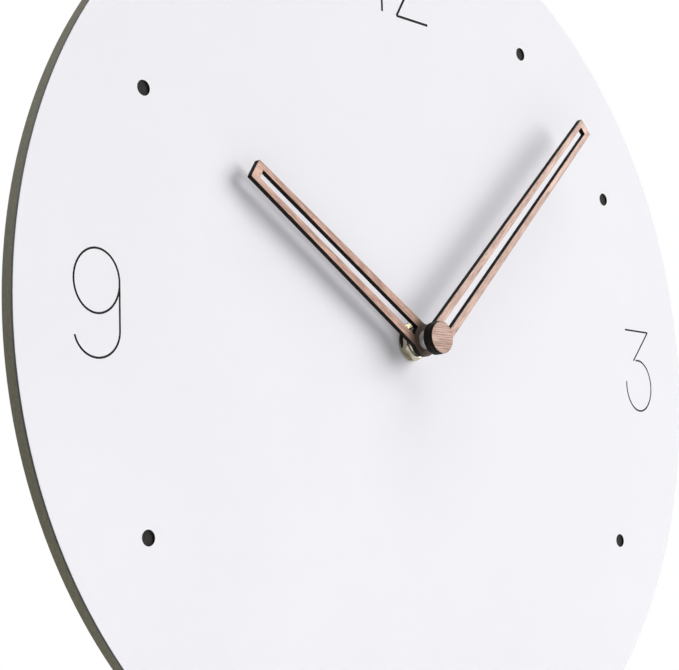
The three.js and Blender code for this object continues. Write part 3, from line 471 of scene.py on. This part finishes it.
washer_front, washer_back, washer_radius = reach("nut_washer")
bush_front, bush_back, flange_radius = reach("threaded_bush")
thread_radius = 3.95 * MM
washer_bore = 4.1 * MM
washer = turned("washer", ring_profile(washer_bore, washer_radius, washer_front, washer_back))
complete(washer, "flat_washer", "clock", "brass", dull_brass, "nut_washer")

nut_front, nut_back, nut_half = reach("hex_nut")
nut_corner = nut_half / math.cos(math.radians(30))
bpy.ops.mesh.primitive_cylinder_add(
    vertices=6, radius=nut_corner, depth=nut_back - nut_front, rotation=(math.pi / 2, 0, 0),
    location=(hub.x, (nut_front + nut_back) / 2, hub.z))
nut = bpy.context.object
bpy.ops.object.transform_apply(location=True, rotation=True, scale=True)
overhang = 1 * MM
crown_edge = nut_half - 0.1 * MM
crown_slope = 0.577
cone_radius = nut_corner + overhang
cone = turned("cone", [
    (0, nut_front), (crown_edge, nut_front),
    (cone_radius, nut_front + (cone_radius - crown_edge) * crown_slope),
    (cone_radius, nut_back + overhang), (0, nut_back + overhang)])
finish_modifier(nut, "BOOLEAN", operation="INTERSECT", solver="EXACT", object=cone)
bpy.data.objects.remove(cone)
mouth_radius = thread_radius + 0.5 * MM
nut_bore = thread_radius + 0.02 * MM
bore = turned("bore", [
    (0, nut_front - overhang), (mouth_radius, nut_front - overhang), (mouth_radius, nut_front),
    (nut_bore, nut_front + mouth_radius - nut_bore), (nut_bore, nut_back + overhang),
    (0, nut_back + overhang)])
finish_modifier(nut, "BOOLEAN", operation="DIFFERENCE", solver="EXACT", object=bore)
bpy.data.objects.remove(bore)
finish_modifier(nut, "BEVEL", width=0.1 * MM, segments=2, limit_method="ANGLE",
                angle_limit=math.radians(25))
complete(nut, "centre_nut", "clock", "brass", brass, "hex_nut")

pipe_bore = 2.63 * MM
thread_pitch = 0.75 * MM
thread_depth = 0.3 * MM
thread_start = bush_front + 0.35 * MM
crests = [(thread_radius, thread_start)]
turns = int((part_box("front_case")[0][1] - bush_front) / thread_pitch) - 1
for step in range(turns):
    start_y = thread_start + step * thread_pitch
    crests += [(thread_radius - thread_depth, start_y + 0.4 * thread_pitch),
               (thread_radius, start_y + 0.8 * thread_pitch)]
flange_front = bush_back - 0.6 * MM
bush = turned("bush", [
    (pipe_bore, bush_front), (thread_radius - thread_depth, bush_front), *crests,
    (thread_radius, flange_front), (flange_radius, flange_front),
    (flange_radius, bush_back), (pipe_bore, bush_back)], steps=96)
complete(bush, "threaded_centre_bush", "clock", "brass", brass, "threaded_bush")

black_rubber = toned_material(
    "black_rubber", (0.02, 0.02, 0.021), 0.8, Tone=0.2, Patch_Scale=300.0,
    Gloss_Spread=0.1, Grain_Scale=3500.0, Relief=0.5)
cushion_front, cushion_back, cushion_radius = reach("rubber_washer")
cushion_edge = 0.25 * MM
cushion = turned("cushion", ring_profile(
    washer_bore, cushion_radius, cushion_front, cushion_back, cushion_edge))
complete(cushion, "rubber_cushion", "clock", "rubber", black_rubber, "rubber_washer")

# ---------------------------------------------------------------- hands
# Both hands are laser cut from 1.8 mm walnut: a round hub with two bars that run to a square tip and
# leave a long slot between them. The laser chars every cut wall nearly black and scorches the edge.


def flat_piece(name, outline, front, back):
    """A sheet piece from its front outline of (x, z), extruded to its thickness."""
    piece = outline_ring(name, [(x, front, z) for x, z in outline])
    bpy.ops.object.mode_set(mode="EDIT")
    bpy.ops.mesh.select_all(action="SELECT")
    bpy.ops.mesh.edge_face_add()
    bpy.ops.mesh.extrude_region_move(TRANSFORM_OT_translate={"value": (0, back - front, 0)})
    bpy.ops.mesh.select_all(action="SELECT")
    bpy.ops.mesh.normals_make_consistent(inside=False)
    bpy.ops.object.mode_set(mode="OBJECT")
    return piece


def turned_to(points, clockwise):
    """Turns (x, z) points about the hands' axis, clockwise from twelve o'clock."""
    c, s = math.cos(math.radians(clockwise)), math.sin(math.radians(clockwise))
    return [(hub.x + x * c + z * s, hub.z - x * s + z * c) for x, z in points]


hub_radius = 5.15 * MM
slot_start = 4.9 * MM
collet_radius = 2.95 * MM


def make_hand(name, node, clockwise, length, root, tip, slot_root, slot_tip, tip_bar):
    """One hand, its widths given at the root and the tip for the blade and for the slot."""
    front, back, _ = reach(node)
    shoulder_angle = math.degrees(math.asin(root / 2 / hub_radius))
    hub_arc = arc(0, 0, hub_radius, hub_radius, 90 + shoulder_angle, 450 - shoulder_angle, 56)
    corner = 0.25 * MM
    outline = [(-tip / 2, length - corner), *hub_arc, (tip / 2, length - corner),
               (tip / 2 - corner, length), (-tip / 2 + corner, length)]
    blade = flat_piece(name, turned_to(outline, clockwise), front, back)
    slot_end = length - tip_bar
    slot_outline = [(-slot_root / 2, slot_start), (slot_root / 2, slot_start),
                    (slot_tip / 2, slot_end), (-slot_tip / 2, slot_end)]
    above, below = front - overhang, back + overhang
    eye_radius = collet_radius + 0.02 * MM
    for cutter in (
            flat_piece("slot", turned_to(slot_outline, clockwise), above, below),
            turned("eye", [(0, above), (eye_radius, above), (eye_radius, below), (0, below)],
                   steps=64)):
        finish_modifier(blade, "BOOLEAN", operation="DIFFERENCE", solver="EXACT", object=cutter)
        bpy.data.objects.remove(cutter)
    finish_modifier(blade, "BEVEL", width=0.06 * MM, segments=2, limit_method="ANGLE",
                    angle_limit=math.radians(40))
    return blade


# Where a surface is within a given reach of an edge, for scorching.
edge_mask, mask_in, mask_out = new_group(
    "edge_mask", {"Reach": ("Float", 0.0003), "Ragged": ("Float", 0.5)}, {"Mask": "Float"})
mask_where = add_node(edge_mask, "ShaderNodeTexCoord")
rounded = add_node(edge_mask, "ShaderNodeBevel", samples=8)
flat = add_node(edge_mask, "ShaderNodeNewGeometry")
alike = add_node(edge_mask, "ShaderNodeVectorMath", operation="DOT_PRODUCT")
mask_range = add_node(edge_mask, "ShaderNodeMapRange", From_Min=0.999, From_Max=0.86)
rag = add_node(edge_mask, "ShaderNodeTexNoise", Scale=900.0, Detail=3.0)
rag_range = add_node(edge_mask, "ShaderNodeMapRange", From_Min=0.35, From_Max=0.65, To_Max=1.0)
rag_low = add_node(edge_mask, "ShaderNodeMath", operation="SUBTRACT")
rag_low.inputs[0].default_value = 1.0
masked = add_node(edge_mask, "ShaderNodeMath", operation="MULTIPLY")
wire(edge_mask, [
    (mask_in, "Reach", rounded, "Radius"), (rounded, "Normal", alike, 0),
    (flat, "Normal", alike, 1), (alike, "Value", mask_range, "Value"),
    (mask_where, "Object", rag, "Vector"), (rag, "Fac", rag_range, "Value"),
    (mask_in, "Ragged", rag_low, 1), (rag_low, 0, rag_range, "To Min"), (mask_range, 0, masked, 0),
    (rag_range, 0, masked, 1), (masked, 0, mask_out, "Mask")])

# Walnut figure: long fibres, slow bands and short dark pores, along the Z of its vector.
wood_figure, wood_in, wood_out = new_group(
    "wood_figure",
    {"Vector": ("Vector", (0, 0, 0)), "Light": ("Color", (0.6, 0.45, 0.38, 1)),
     "Dark": ("Color", (0.4, 0.25, 0.18, 1)), "Pore": ("Color", (0.15, 0.08, 0.05, 1)),
     "Band Scale": ("Float", 300.0), "Band Wobble": ("Float", 1.5), "Band Start": ("Float", -1.0),
     "Pore Amount": ("Float", 0.3)},
    {"Colour": "Color", "Roughness": "Float", "Height": "Float"})
band_wobble = add_node(wood_figure, "ShaderNodeTexNoise", Scale=1.0, Detail=3.0)
band_stretch = add_node(wood_figure, "ShaderNodeVectorMath", operation="MULTIPLY")
band_stretch.inputs[1].default_value = (160, 160, 45)
wobble_out = add_node(wood_figure, "ShaderNodeMath", operation="MULTIPLY")
across = add_node(wood_figure, "ShaderNodeSeparateXYZ")
band_phase = add_node(wood_figure, "ShaderNodeMath", operation="MULTIPLY_ADD")
band_wave = add_node(wood_figure, "ShaderNodeMath", operation="SINE")
band_range = add_node(wood_figure, "ShaderNodeMapRange", From_Max=1.0)
fibre_stretch = add_node(wood_figure, "ShaderNodeVectorMath", operation="MULTIPLY")
fibre_stretch.inputs[1].default_value = (1500, 1500, 170)
fibre = add_node(wood_figure, "ShaderNodeTexNoise", Scale=1.0, Detail=3.0, Roughness=0.65)
figure_mix = add_node(wood_figure, "ShaderNodeMath", operation="MULTIPLY_ADD", use_clamp=True)
figure_mix.inputs[1].default_value = 0.55
fibre_part = add_node(wood_figure, "ShaderNodeMapRange", From_Min=0.34, From_Max=0.66, To_Max=0.62)
base_mix = add_node(wood_figure, "ShaderNodeMix", data_type="RGBA")
pore_stretch = add_node(wood_figure, "ShaderNodeVectorMath", operation="MULTIPLY")
pore_stretch.inputs[1].default_value = (1900, 1900, 330)
pore = add_node(wood_figure, "ShaderNodeTexNoise", Scale=1.0, Detail=1.0)
pore_range = add_node(wood_figure, "ShaderNodeMapRange", From_Min=0.62, From_Max=0.72)
pore_part = add_node(wood_figure, "ShaderNodeMath", operation="MULTIPLY")
pore_mix = add_node(wood_figure, "ShaderNodeMix", data_type="RGBA")
wood_gloss = add_node(wood_figure, "ShaderNodeMapRange", To_Min=0.55, To_Max=0.8)
deepened = add_node(wood_figure, "ShaderNodeMath", operation="SUBTRACT")
wire(wood_figure, [
    (wood_in, "Vector", band_stretch, 0), (band_stretch, 0, band_wobble, "Vector"),
    (band_wobble, "Fac", wobble_out, 0), (wood_in, "Band Wobble", wobble_out, 1),
    (wood_in, "Vector", across, 0), (across, "X", band_phase, 0),
    (wood_in, "Band Scale", band_phase, 1), (wobble_out, 0, band_phase, 2),
    (band_phase, 0, band_wave, 0), (band_wave, 0, band_range, "Value"),
    (wood_in, "Band Start", band_range, "From Min"), (wood_in, "Vector", fibre_stretch, 0),
    (fibre_stretch, 0, fibre, "Vector"), (fibre, "Fac", fibre_part, "Value"),
    (band_range, 0, figure_mix, 0), (fibre_part, 0, figure_mix, 2),
    (figure_mix, 0, base_mix, "Factor"), (wood_in, "Light", base_mix, "A"),
    (wood_in, "Dark", base_mix, "B"), (wood_in, "Vector", pore_stretch, 0),
    (pore_stretch, 0, pore, "Vector"), (pore, "Fac", pore_range, "Value"),
    (pore_range, 0, pore_part, 0), (wood_in, "Pore Amount", pore_part, 1),
    (pore_part, 0, pore_mix, "Factor"), (base_mix, "Result", pore_mix, "A"),
    (wood_in, "Pore", pore_mix, "B"), (pore_mix, "Result", wood_out, "Colour"),
    (fibre, "Fac", wood_gloss, "Value"), (wood_gloss, 0, wood_out, "Roughness"),
    (fibre_part, 0, deepened, 0), (pore_part, 0, deepened, 1), (deepened, 0, wood_out, "Height")])

# How far a point is inside a round patch about the hands' axis. The patch is painted shade: it
# darkens a hand's hub where the parts in front of it, the minute hand's hub and the cap, shade it.
round_painted_shade, shade_in, shade_out = new_group(
    "round_painted_shade", {"Inner": ("Float", 0.005), "Outer": ("Float", 0.006)}, {"Mask": "Float"})
shade_where = add_node(round_painted_shade, "ShaderNodeTexCoord")
from_axis = add_node(round_painted_shade, "ShaderNodeVectorMath", operation="SUBTRACT")
from_axis.inputs[1].default_value = hub
flattened = add_node(round_painted_shade, "ShaderNodeVectorMath", operation="MULTIPLY")
flattened.inputs[1].default_value = (1, 0, 1)
shade_radius = add_node(round_painted_shade, "ShaderNodeVectorMath", operation="LENGTH")
shade_range = add_node(round_painted_shade, "ShaderNodeMapRange", To_Min=1.0, To_Max=0.0)
wire(round_painted_shade, [
    (shade_where, "Object", from_axis, 0), (from_axis, 0, flattened, 0),
    (flattened, 0, shade_radius, 0), (shade_radius, "Value", shade_range, "Value"),
    (shade_in, "Inner", shade_range, "From Min"), (shade_in, "Outer", shade_range, "From Max"),
    (shade_range, 0, shade_out, "Mask")])


def walnut_material(
        name, clockwise, light, dark, band_scale, wobble, pores, shade_inner, shade_outer,
        band_start=-1.0):
    """Walnut with its fibres turned clockwise from twelve o'clock, scorched near its cut edges, and
    darkened by painted shade in a round patch about the hands' axis, from shade_inner out to
    shade_outer.
    """
    material, tree, shader = new_material(name, light, 0.65)
    spot = add_node(tree, "ShaderNodeTexCoord")
    turn = add_node(tree, "ShaderNodeMapping", vector_type="TEXTURE")
    turn.inputs["Location"].default_value = hub
    turn.inputs["Rotation"].default_value = (0, math.radians(clockwise), 0)
    wood = place_group(
        tree, wood_figure, Light=(*light, 1), Dark=(*dark, 1), Pore=(0.13, 0.07, 0.045, 1),
        Band_Scale=band_scale, Band_Wobble=wobble, Band_Start=band_start, Pore_Amount=pores)
    hub_shade = place_group(tree, round_painted_shade, Inner=shade_inner, Outer=shade_outer)
    # Painted shade: inside the round patch the wood turns this dark brown, in place of the shade that
    # the parts in front cast on the hub.
    shade_mix = add_node(tree, "ShaderNodeMix", data_type="RGBA")
    shade_mix.inputs["B"].default_value = (0.075, 0.046, 0.032, 1)
    edges = place_group(tree, edge_mask, Reach=0.5 * MM, Ragged=0.45)
    scorched = add_node(tree, "ShaderNodeMix", data_type="RGBA")
    scorched.inputs["B"].default_value = (0.19, 0.105, 0.065, 1)
    bump = add_node(tree, "ShaderNodeBump", Strength=0.35, Distance=0.0001)
    wire(tree, [
        (spot, "Object", turn, "Vector"), (turn, 0, wood, "Vector"),
        (edges, "Mask", scorched, "Factor"), (wood, "Colour", scorched, "A"),
        (hub_shade, "Mask", shade_mix, "Factor"), (scorched, "Result", shade_mix, "A"),
        (shade_mix, "Result", shader, "Base Color"), (wood, "Roughness", shader, "Roughness"),
        (wood, "Height", bump, "Height"), (bump, 0, shader, "Normal")])
    return material


charred = toned_material(
    "charred_edge", (0.007, 0.0052, 0.0042), 0.62, specular=0.12, Tone=0.45, Patch_Scale=700.0,
    Gloss_Spread=0.12, Grain_Scale=2500.0, Relief=0.9, Stretch=(1.0, 0.12, 1.0))
# The backs: the laser's smoke stain together with painted shade, dark so that they throw little light
# onto the dial and hubs behind them.
smoke_and_shade_back = toned_material(
    "smoke_and_shade_back", (0.060, 0.040, 0.030), 0.75, Tone=0.35, Patch_Scale=400.0,
    Gloss_Spread=0.1, Grain_Scale=2200.0, Relief=0.5)


def char_walls(piece):
    """The laser chars every wall that it cuts. The back is dark brown: the laser's smoke stain,
    darkened further as painted shade, so that little light bounces off it onto the dial and the hubs.
    """
    piece.data.materials.append(charred)
    piece.data.materials.append(smoke_and_shade_back)
    for polygon in piece.data.polygons:
        if abs(polygon.normal.y) < 0.8:
            polygon.material_index = 1
        elif polygon.normal.y > 0:
            polygon.material_index = 2


minute_angle = 45.1
hour_angle = 301.7
hour_blade = make_hand(
    "hour_blade", "hour_hand", hour_angle, length=83.4 * MM, root=8.55 * MM, tip=6.3 * MM,
    slot_root=3.2 * MM, slot_tip=2.85 * MM, tip_bar=2.9 * MM)
# The hour hand's hub is painted dark from 4.6 mm out to 8.2 mm: painted shade from the minute hand's
# hub and the cap in front of it.
hour_walnut = walnut_material(
    "hour_walnut", hour_angle, light=(0.81, 0.527, 0.408), dark=(0.37, 0.21, 0.156),
    band_scale=900.0, wobble=9.0, pores=0.6, shade_inner=4.6 * MM, shade_outer=8.2 * MM)
complete(hour_blade, "hour_hand_blade", "hour_hand", "walnut", hour_walnut, "hour_hand", smooth=30)
char_walls(hour_blade)

minute_blade = make_hand(
    "minute_blade", "minute_hand", minute_angle, length=116.4 * MM, root=8.7 * MM, tip=6.6 * MM,
    slot_root=3.35 * MM, slot_tip=2.75 * MM, tip_bar=2.5 * MM)
# A narrow ring of painted shade round the foot of the cap.
minute_walnut = walnut_material(
    "minute_walnut", minute_angle, light=(0.85, 0.605, 0.505), dark=(0.49, 0.325, 0.262),
    band_scale=900.0, wobble=9.0, pores=0.5, shade_inner=5.15 * MM, shade_outer=5.6 * MM)
complete(
    minute_blade, "minute_hand_blade", "minute_hand", "walnut", minute_walnut, "minute_hand",
    smooth=30)
char_walls(minute_blade)

# ---------------------------------------------------------------- collets and cap
# Each hand is held by a turned aluminium collet pressed through its hub. A round walnut cap, cut with
# its grain level, is glued over the minute hand's collet.
aluminium = toned_material(
    "turned_aluminium", (0.95, 0.95, 0.94), 0.3, 0.6, Tone=0.05, Patch_Scale=400.0,
    Gloss_Spread=0.05, Grain_Scale=2200.0, Relief=0.03, Stretch=(0.15, 4.0, 0.15))
hour_collet_front, hour_collet_back, hour_flange_radius = reach("hour_hand_collet")
pipe_seat = 2.57 * MM
flange_start = hour_collet_back - 0.6 * MM
rounding = 0.2 * MM
hour_collet = turned("hour_collet", [
    (pipe_seat, hour_collet_front + 0.1 * MM), (pipe_seat + 0.08 * MM, hour_collet_front),
    (collet_radius - rounding, hour_collet_front),
    (collet_radius - 0.3 * rounding, hour_collet_front + 0.3 * rounding),
    (collet_radius, hour_collet_front + rounding), (collet_radius, flange_start),
    (hour_flange_radius - chamfer, flange_start), (hour_flange_radius, flange_start + chamfer),
    (hour_flange_radius, hour_collet_back), (pipe_seat, hour_collet_back)], steps=96)
complete(hour_collet, "hour_collet", "hour_hand", "aluminium", aluminium, "hour_hand_collet")

minute_collet_front, minute_collet_back, _ = reach("minute_hand_collet")
arbor_seat = 1.62 * MM
minute_collet = turned("minute_collet", ring_profile(
    arbor_seat, collet_radius, minute_collet_front, minute_collet_back), steps=96)
complete(minute_collet, "minute_collet", "minute_hand", "aluminium", aluminium, "minute_hand_collet")

cap_front, cap_back, cap_radius = reach("hub_cap")
cap_edge = 0.08 * MM
cap = turned("cap", [
    (0, cap_front), (cap_radius - cap_edge, cap_front), (cap_radius, cap_front + cap_edge),
    (cap_radius, cap_back - cap_edge), (cap_radius - cap_edge, cap_back), (0, cap_back)])
# The cap's patch of painted shade is shrunk to a point, so the cap has next to none.
cap_walnut = walnut_material(
    "cap_walnut", 90, light=(0.63, 0.43, 0.355), dark=(0.26, 0.146, 0.106), band_scale=8600.0,
    wobble=16.0, pores=0.3, shade_inner=0.0, shade_outer=0.1 * MM, band_start=0.1)
complete(cap, "walnut_cap", "minute_hand", "walnut", cap_walnut, "hub_cap", smooth=30)
char_walls(cap)

# ---------------------------------------------------------------- hanger plate
# Zinc plated sheet steel, pressed to a step so that a nail head fits between it and the board, and
# pierced with a wide slot that narrows to a round notch. The centre nut clamps it.


def softened_copy(node, name, width, segments=2, angle=30):
    """A copy of a CAD node with its flat faces joined up and its edges rounded by width."""
    piece = bpy.data.objects.new(name, frame["nodes"][node].data.copy())
    bpy.context.collection.objects.link(piece)
    select_only(piece)
    bpy.ops.object.mode_set(mode="EDIT")
    bpy.ops.mesh.select_all(action="SELECT")
    bpy.ops.mesh.remove_doubles(threshold=1e-6)
    bpy.ops.mesh.dissolve_limited(angle_limit=math.radians(0.5))
    bpy.ops.object.mode_set(mode="OBJECT")
    finish_modifier(piece, "BEVEL", width=width, segments=segments, limit_method="ANGLE",
                    angle_limit=math.radians(angle), use_clamp_overlap=True)
    return piece


zinc_steel = toned_material(
    "zinc_plated_steel", (0.60, 0.61, 0.63), 0.34, 1.0, Tone=0.12, Patch_Scale=260.0,
    Gloss_Spread=0.1, Grain_Scale=1800.0, Relief=0.15, Stretch=(1.0, 1.0, 0.25))
hanger = softened_copy("hanger_plate", "hanger", 0.12 * MM)
complete(hanger, "stepped_hanger", "clock", "steel", zinc_steel, "hanger_plate")

# ---------------------------------------------------------------- movement case
# Two black moulded halves with a spark-eroded texture: a front tray with the battery bay, and a back
# cover with a round well for the setting knob.
black_plastic = toned_material(
    "textured_black_plastic", (0.022, 0.022, 0.024), 0.5, Tone=0.12, Patch_Scale=120.0,
    Gloss_Spread=0.09, Grain_Scale=2600.0, Relief=0.45)
tray = softened_copy("front_case", "tray", 0.25 * MM)
complete(tray, "movement_tray", "clock", "black_plastic", black_plastic, "front_case")
cover = softened_copy("back_cover", "cover", 0.25 * MM)
complete(cover, "movement_cover", "clock", "black_plastic", black_plastic, "back_cover")

# ---------------------------------------------------------------- setting knob
# A white moulded wheel with a gripped edge, turned by a thumb to set the time. It sits in the cover's
# well, pressed on the minute wheel's arbor.
white_plastic = toned_material(
    "white_moulded_plastic", (0.72, 0.71, 0.67), 0.42, Tone=0.04, Patch_Scale=150.0,
    Gloss_Spread=0.06, Grain_Scale=2400.0, Relief=0.2)
knob = softened_copy("setting_knob", "knob", 0.15 * MM)
complete(knob, "grip_knob", "setting_knob", "white_plastic", white_plastic, "setting_knob")

# ---------------------------------------------------------------- battery
# A standard steel cell in a plain printed film sleeve, with its button at the left end. It is held
# between two sprung contacts in the tray's bay.
battery_wrap = toned_material(
    "plain_battery_sleeve", (0.42, 0.45, 0.48), 0.28, 0.2, Tone=0.05, Patch_Scale=200.0,
    Gloss_Spread=0.05, Grain_Scale=1500.0, Relief=0.1)
cell = softened_copy("battery_cell", "cell", 0.2 * MM, segments=3, angle=20)
complete(cell, "sleeved_cell", "battery", "battery_wrap", battery_wrap, "battery_cell")
button = softened_copy("battery_terminal", "button", 0.15 * MM, segments=3, angle=20)
complete(button, "cell_button", "battery", "steel", zinc_steel, "battery_terminal")

# ---------------------------------------------------------------- inside the case
# Moulded nylon wheels, pressed steel stepper parts and contacts, a wound copper coil and a small
# circuit board. They are hidden by the case and keep their CAD shapes.
nylon = toned_material(
    "natural_nylon", (0.70, 0.67, 0.58), 0.4, Tone=0.05, Patch_Scale=300.0,
    Gloss_Spread=0.08, Grain_Scale=3000.0, Relief=0.15)
ferrite = toned_material(
    "ground_ferrite", (0.055, 0.055, 0.06), 0.45, 0.3, Tone=0.2, Patch_Scale=600.0,
    Gloss_Spread=0.1, Grain_Scale=3500.0, Relief=0.4)
copper = toned_material(
    "enamelled_copper", (0.56, 0.21, 0.07), 0.3, 0.9, Tone=0.15, Patch_Scale=500.0,
    Gloss_Spread=0.08, Grain_Scale=900.0, Relief=0.6, Stretch=(8.0, 1.0, 1.0))
green_board = toned_material(
    "solder_mask", (0.02, 0.13, 0.06), 0.35, Tone=0.25, Patch_Scale=420.0,
    Gloss_Spread=0.06, Grain_Scale=1200.0, Relief=0.2)
kept = {
    nylon: ["hour_wheel", "minute_wheel", "centre_wheel", "third_wheel", "seconds_wheel",
            "intermediate_wheel", "rotor_pinion"],
    black_plastic: ["middle_plate", "train_bridge", "coil_bobbin", "chip_blob"],
    zinc_steel: ["stator", "coil_core", "crystal_can", "positive_contact", "negative_contact",
                 "clutch_washer"],
    brass: ["cannon_pinion"],
    ferrite: ["rotor_magnet"],
    copper: ["coil_winding"],
    green_board: ["circuit_board"],
}
for material, nodes in kept.items():
    for node in nodes:
        for holder in frame["nodes"][node].material_slots:
            holder.material = material

# The floor is a matt sheet of pale card.
pale_floor = toned_material(
    "pale_floor", (0.66, 0.66, 0.66), 0.7, Tone=0.01, Patch_Scale=3.0,
    Gloss_Spread=0.05, Grain_Scale=200.0, Relief=0.05)
floor.data.materials.append(pale_floor)
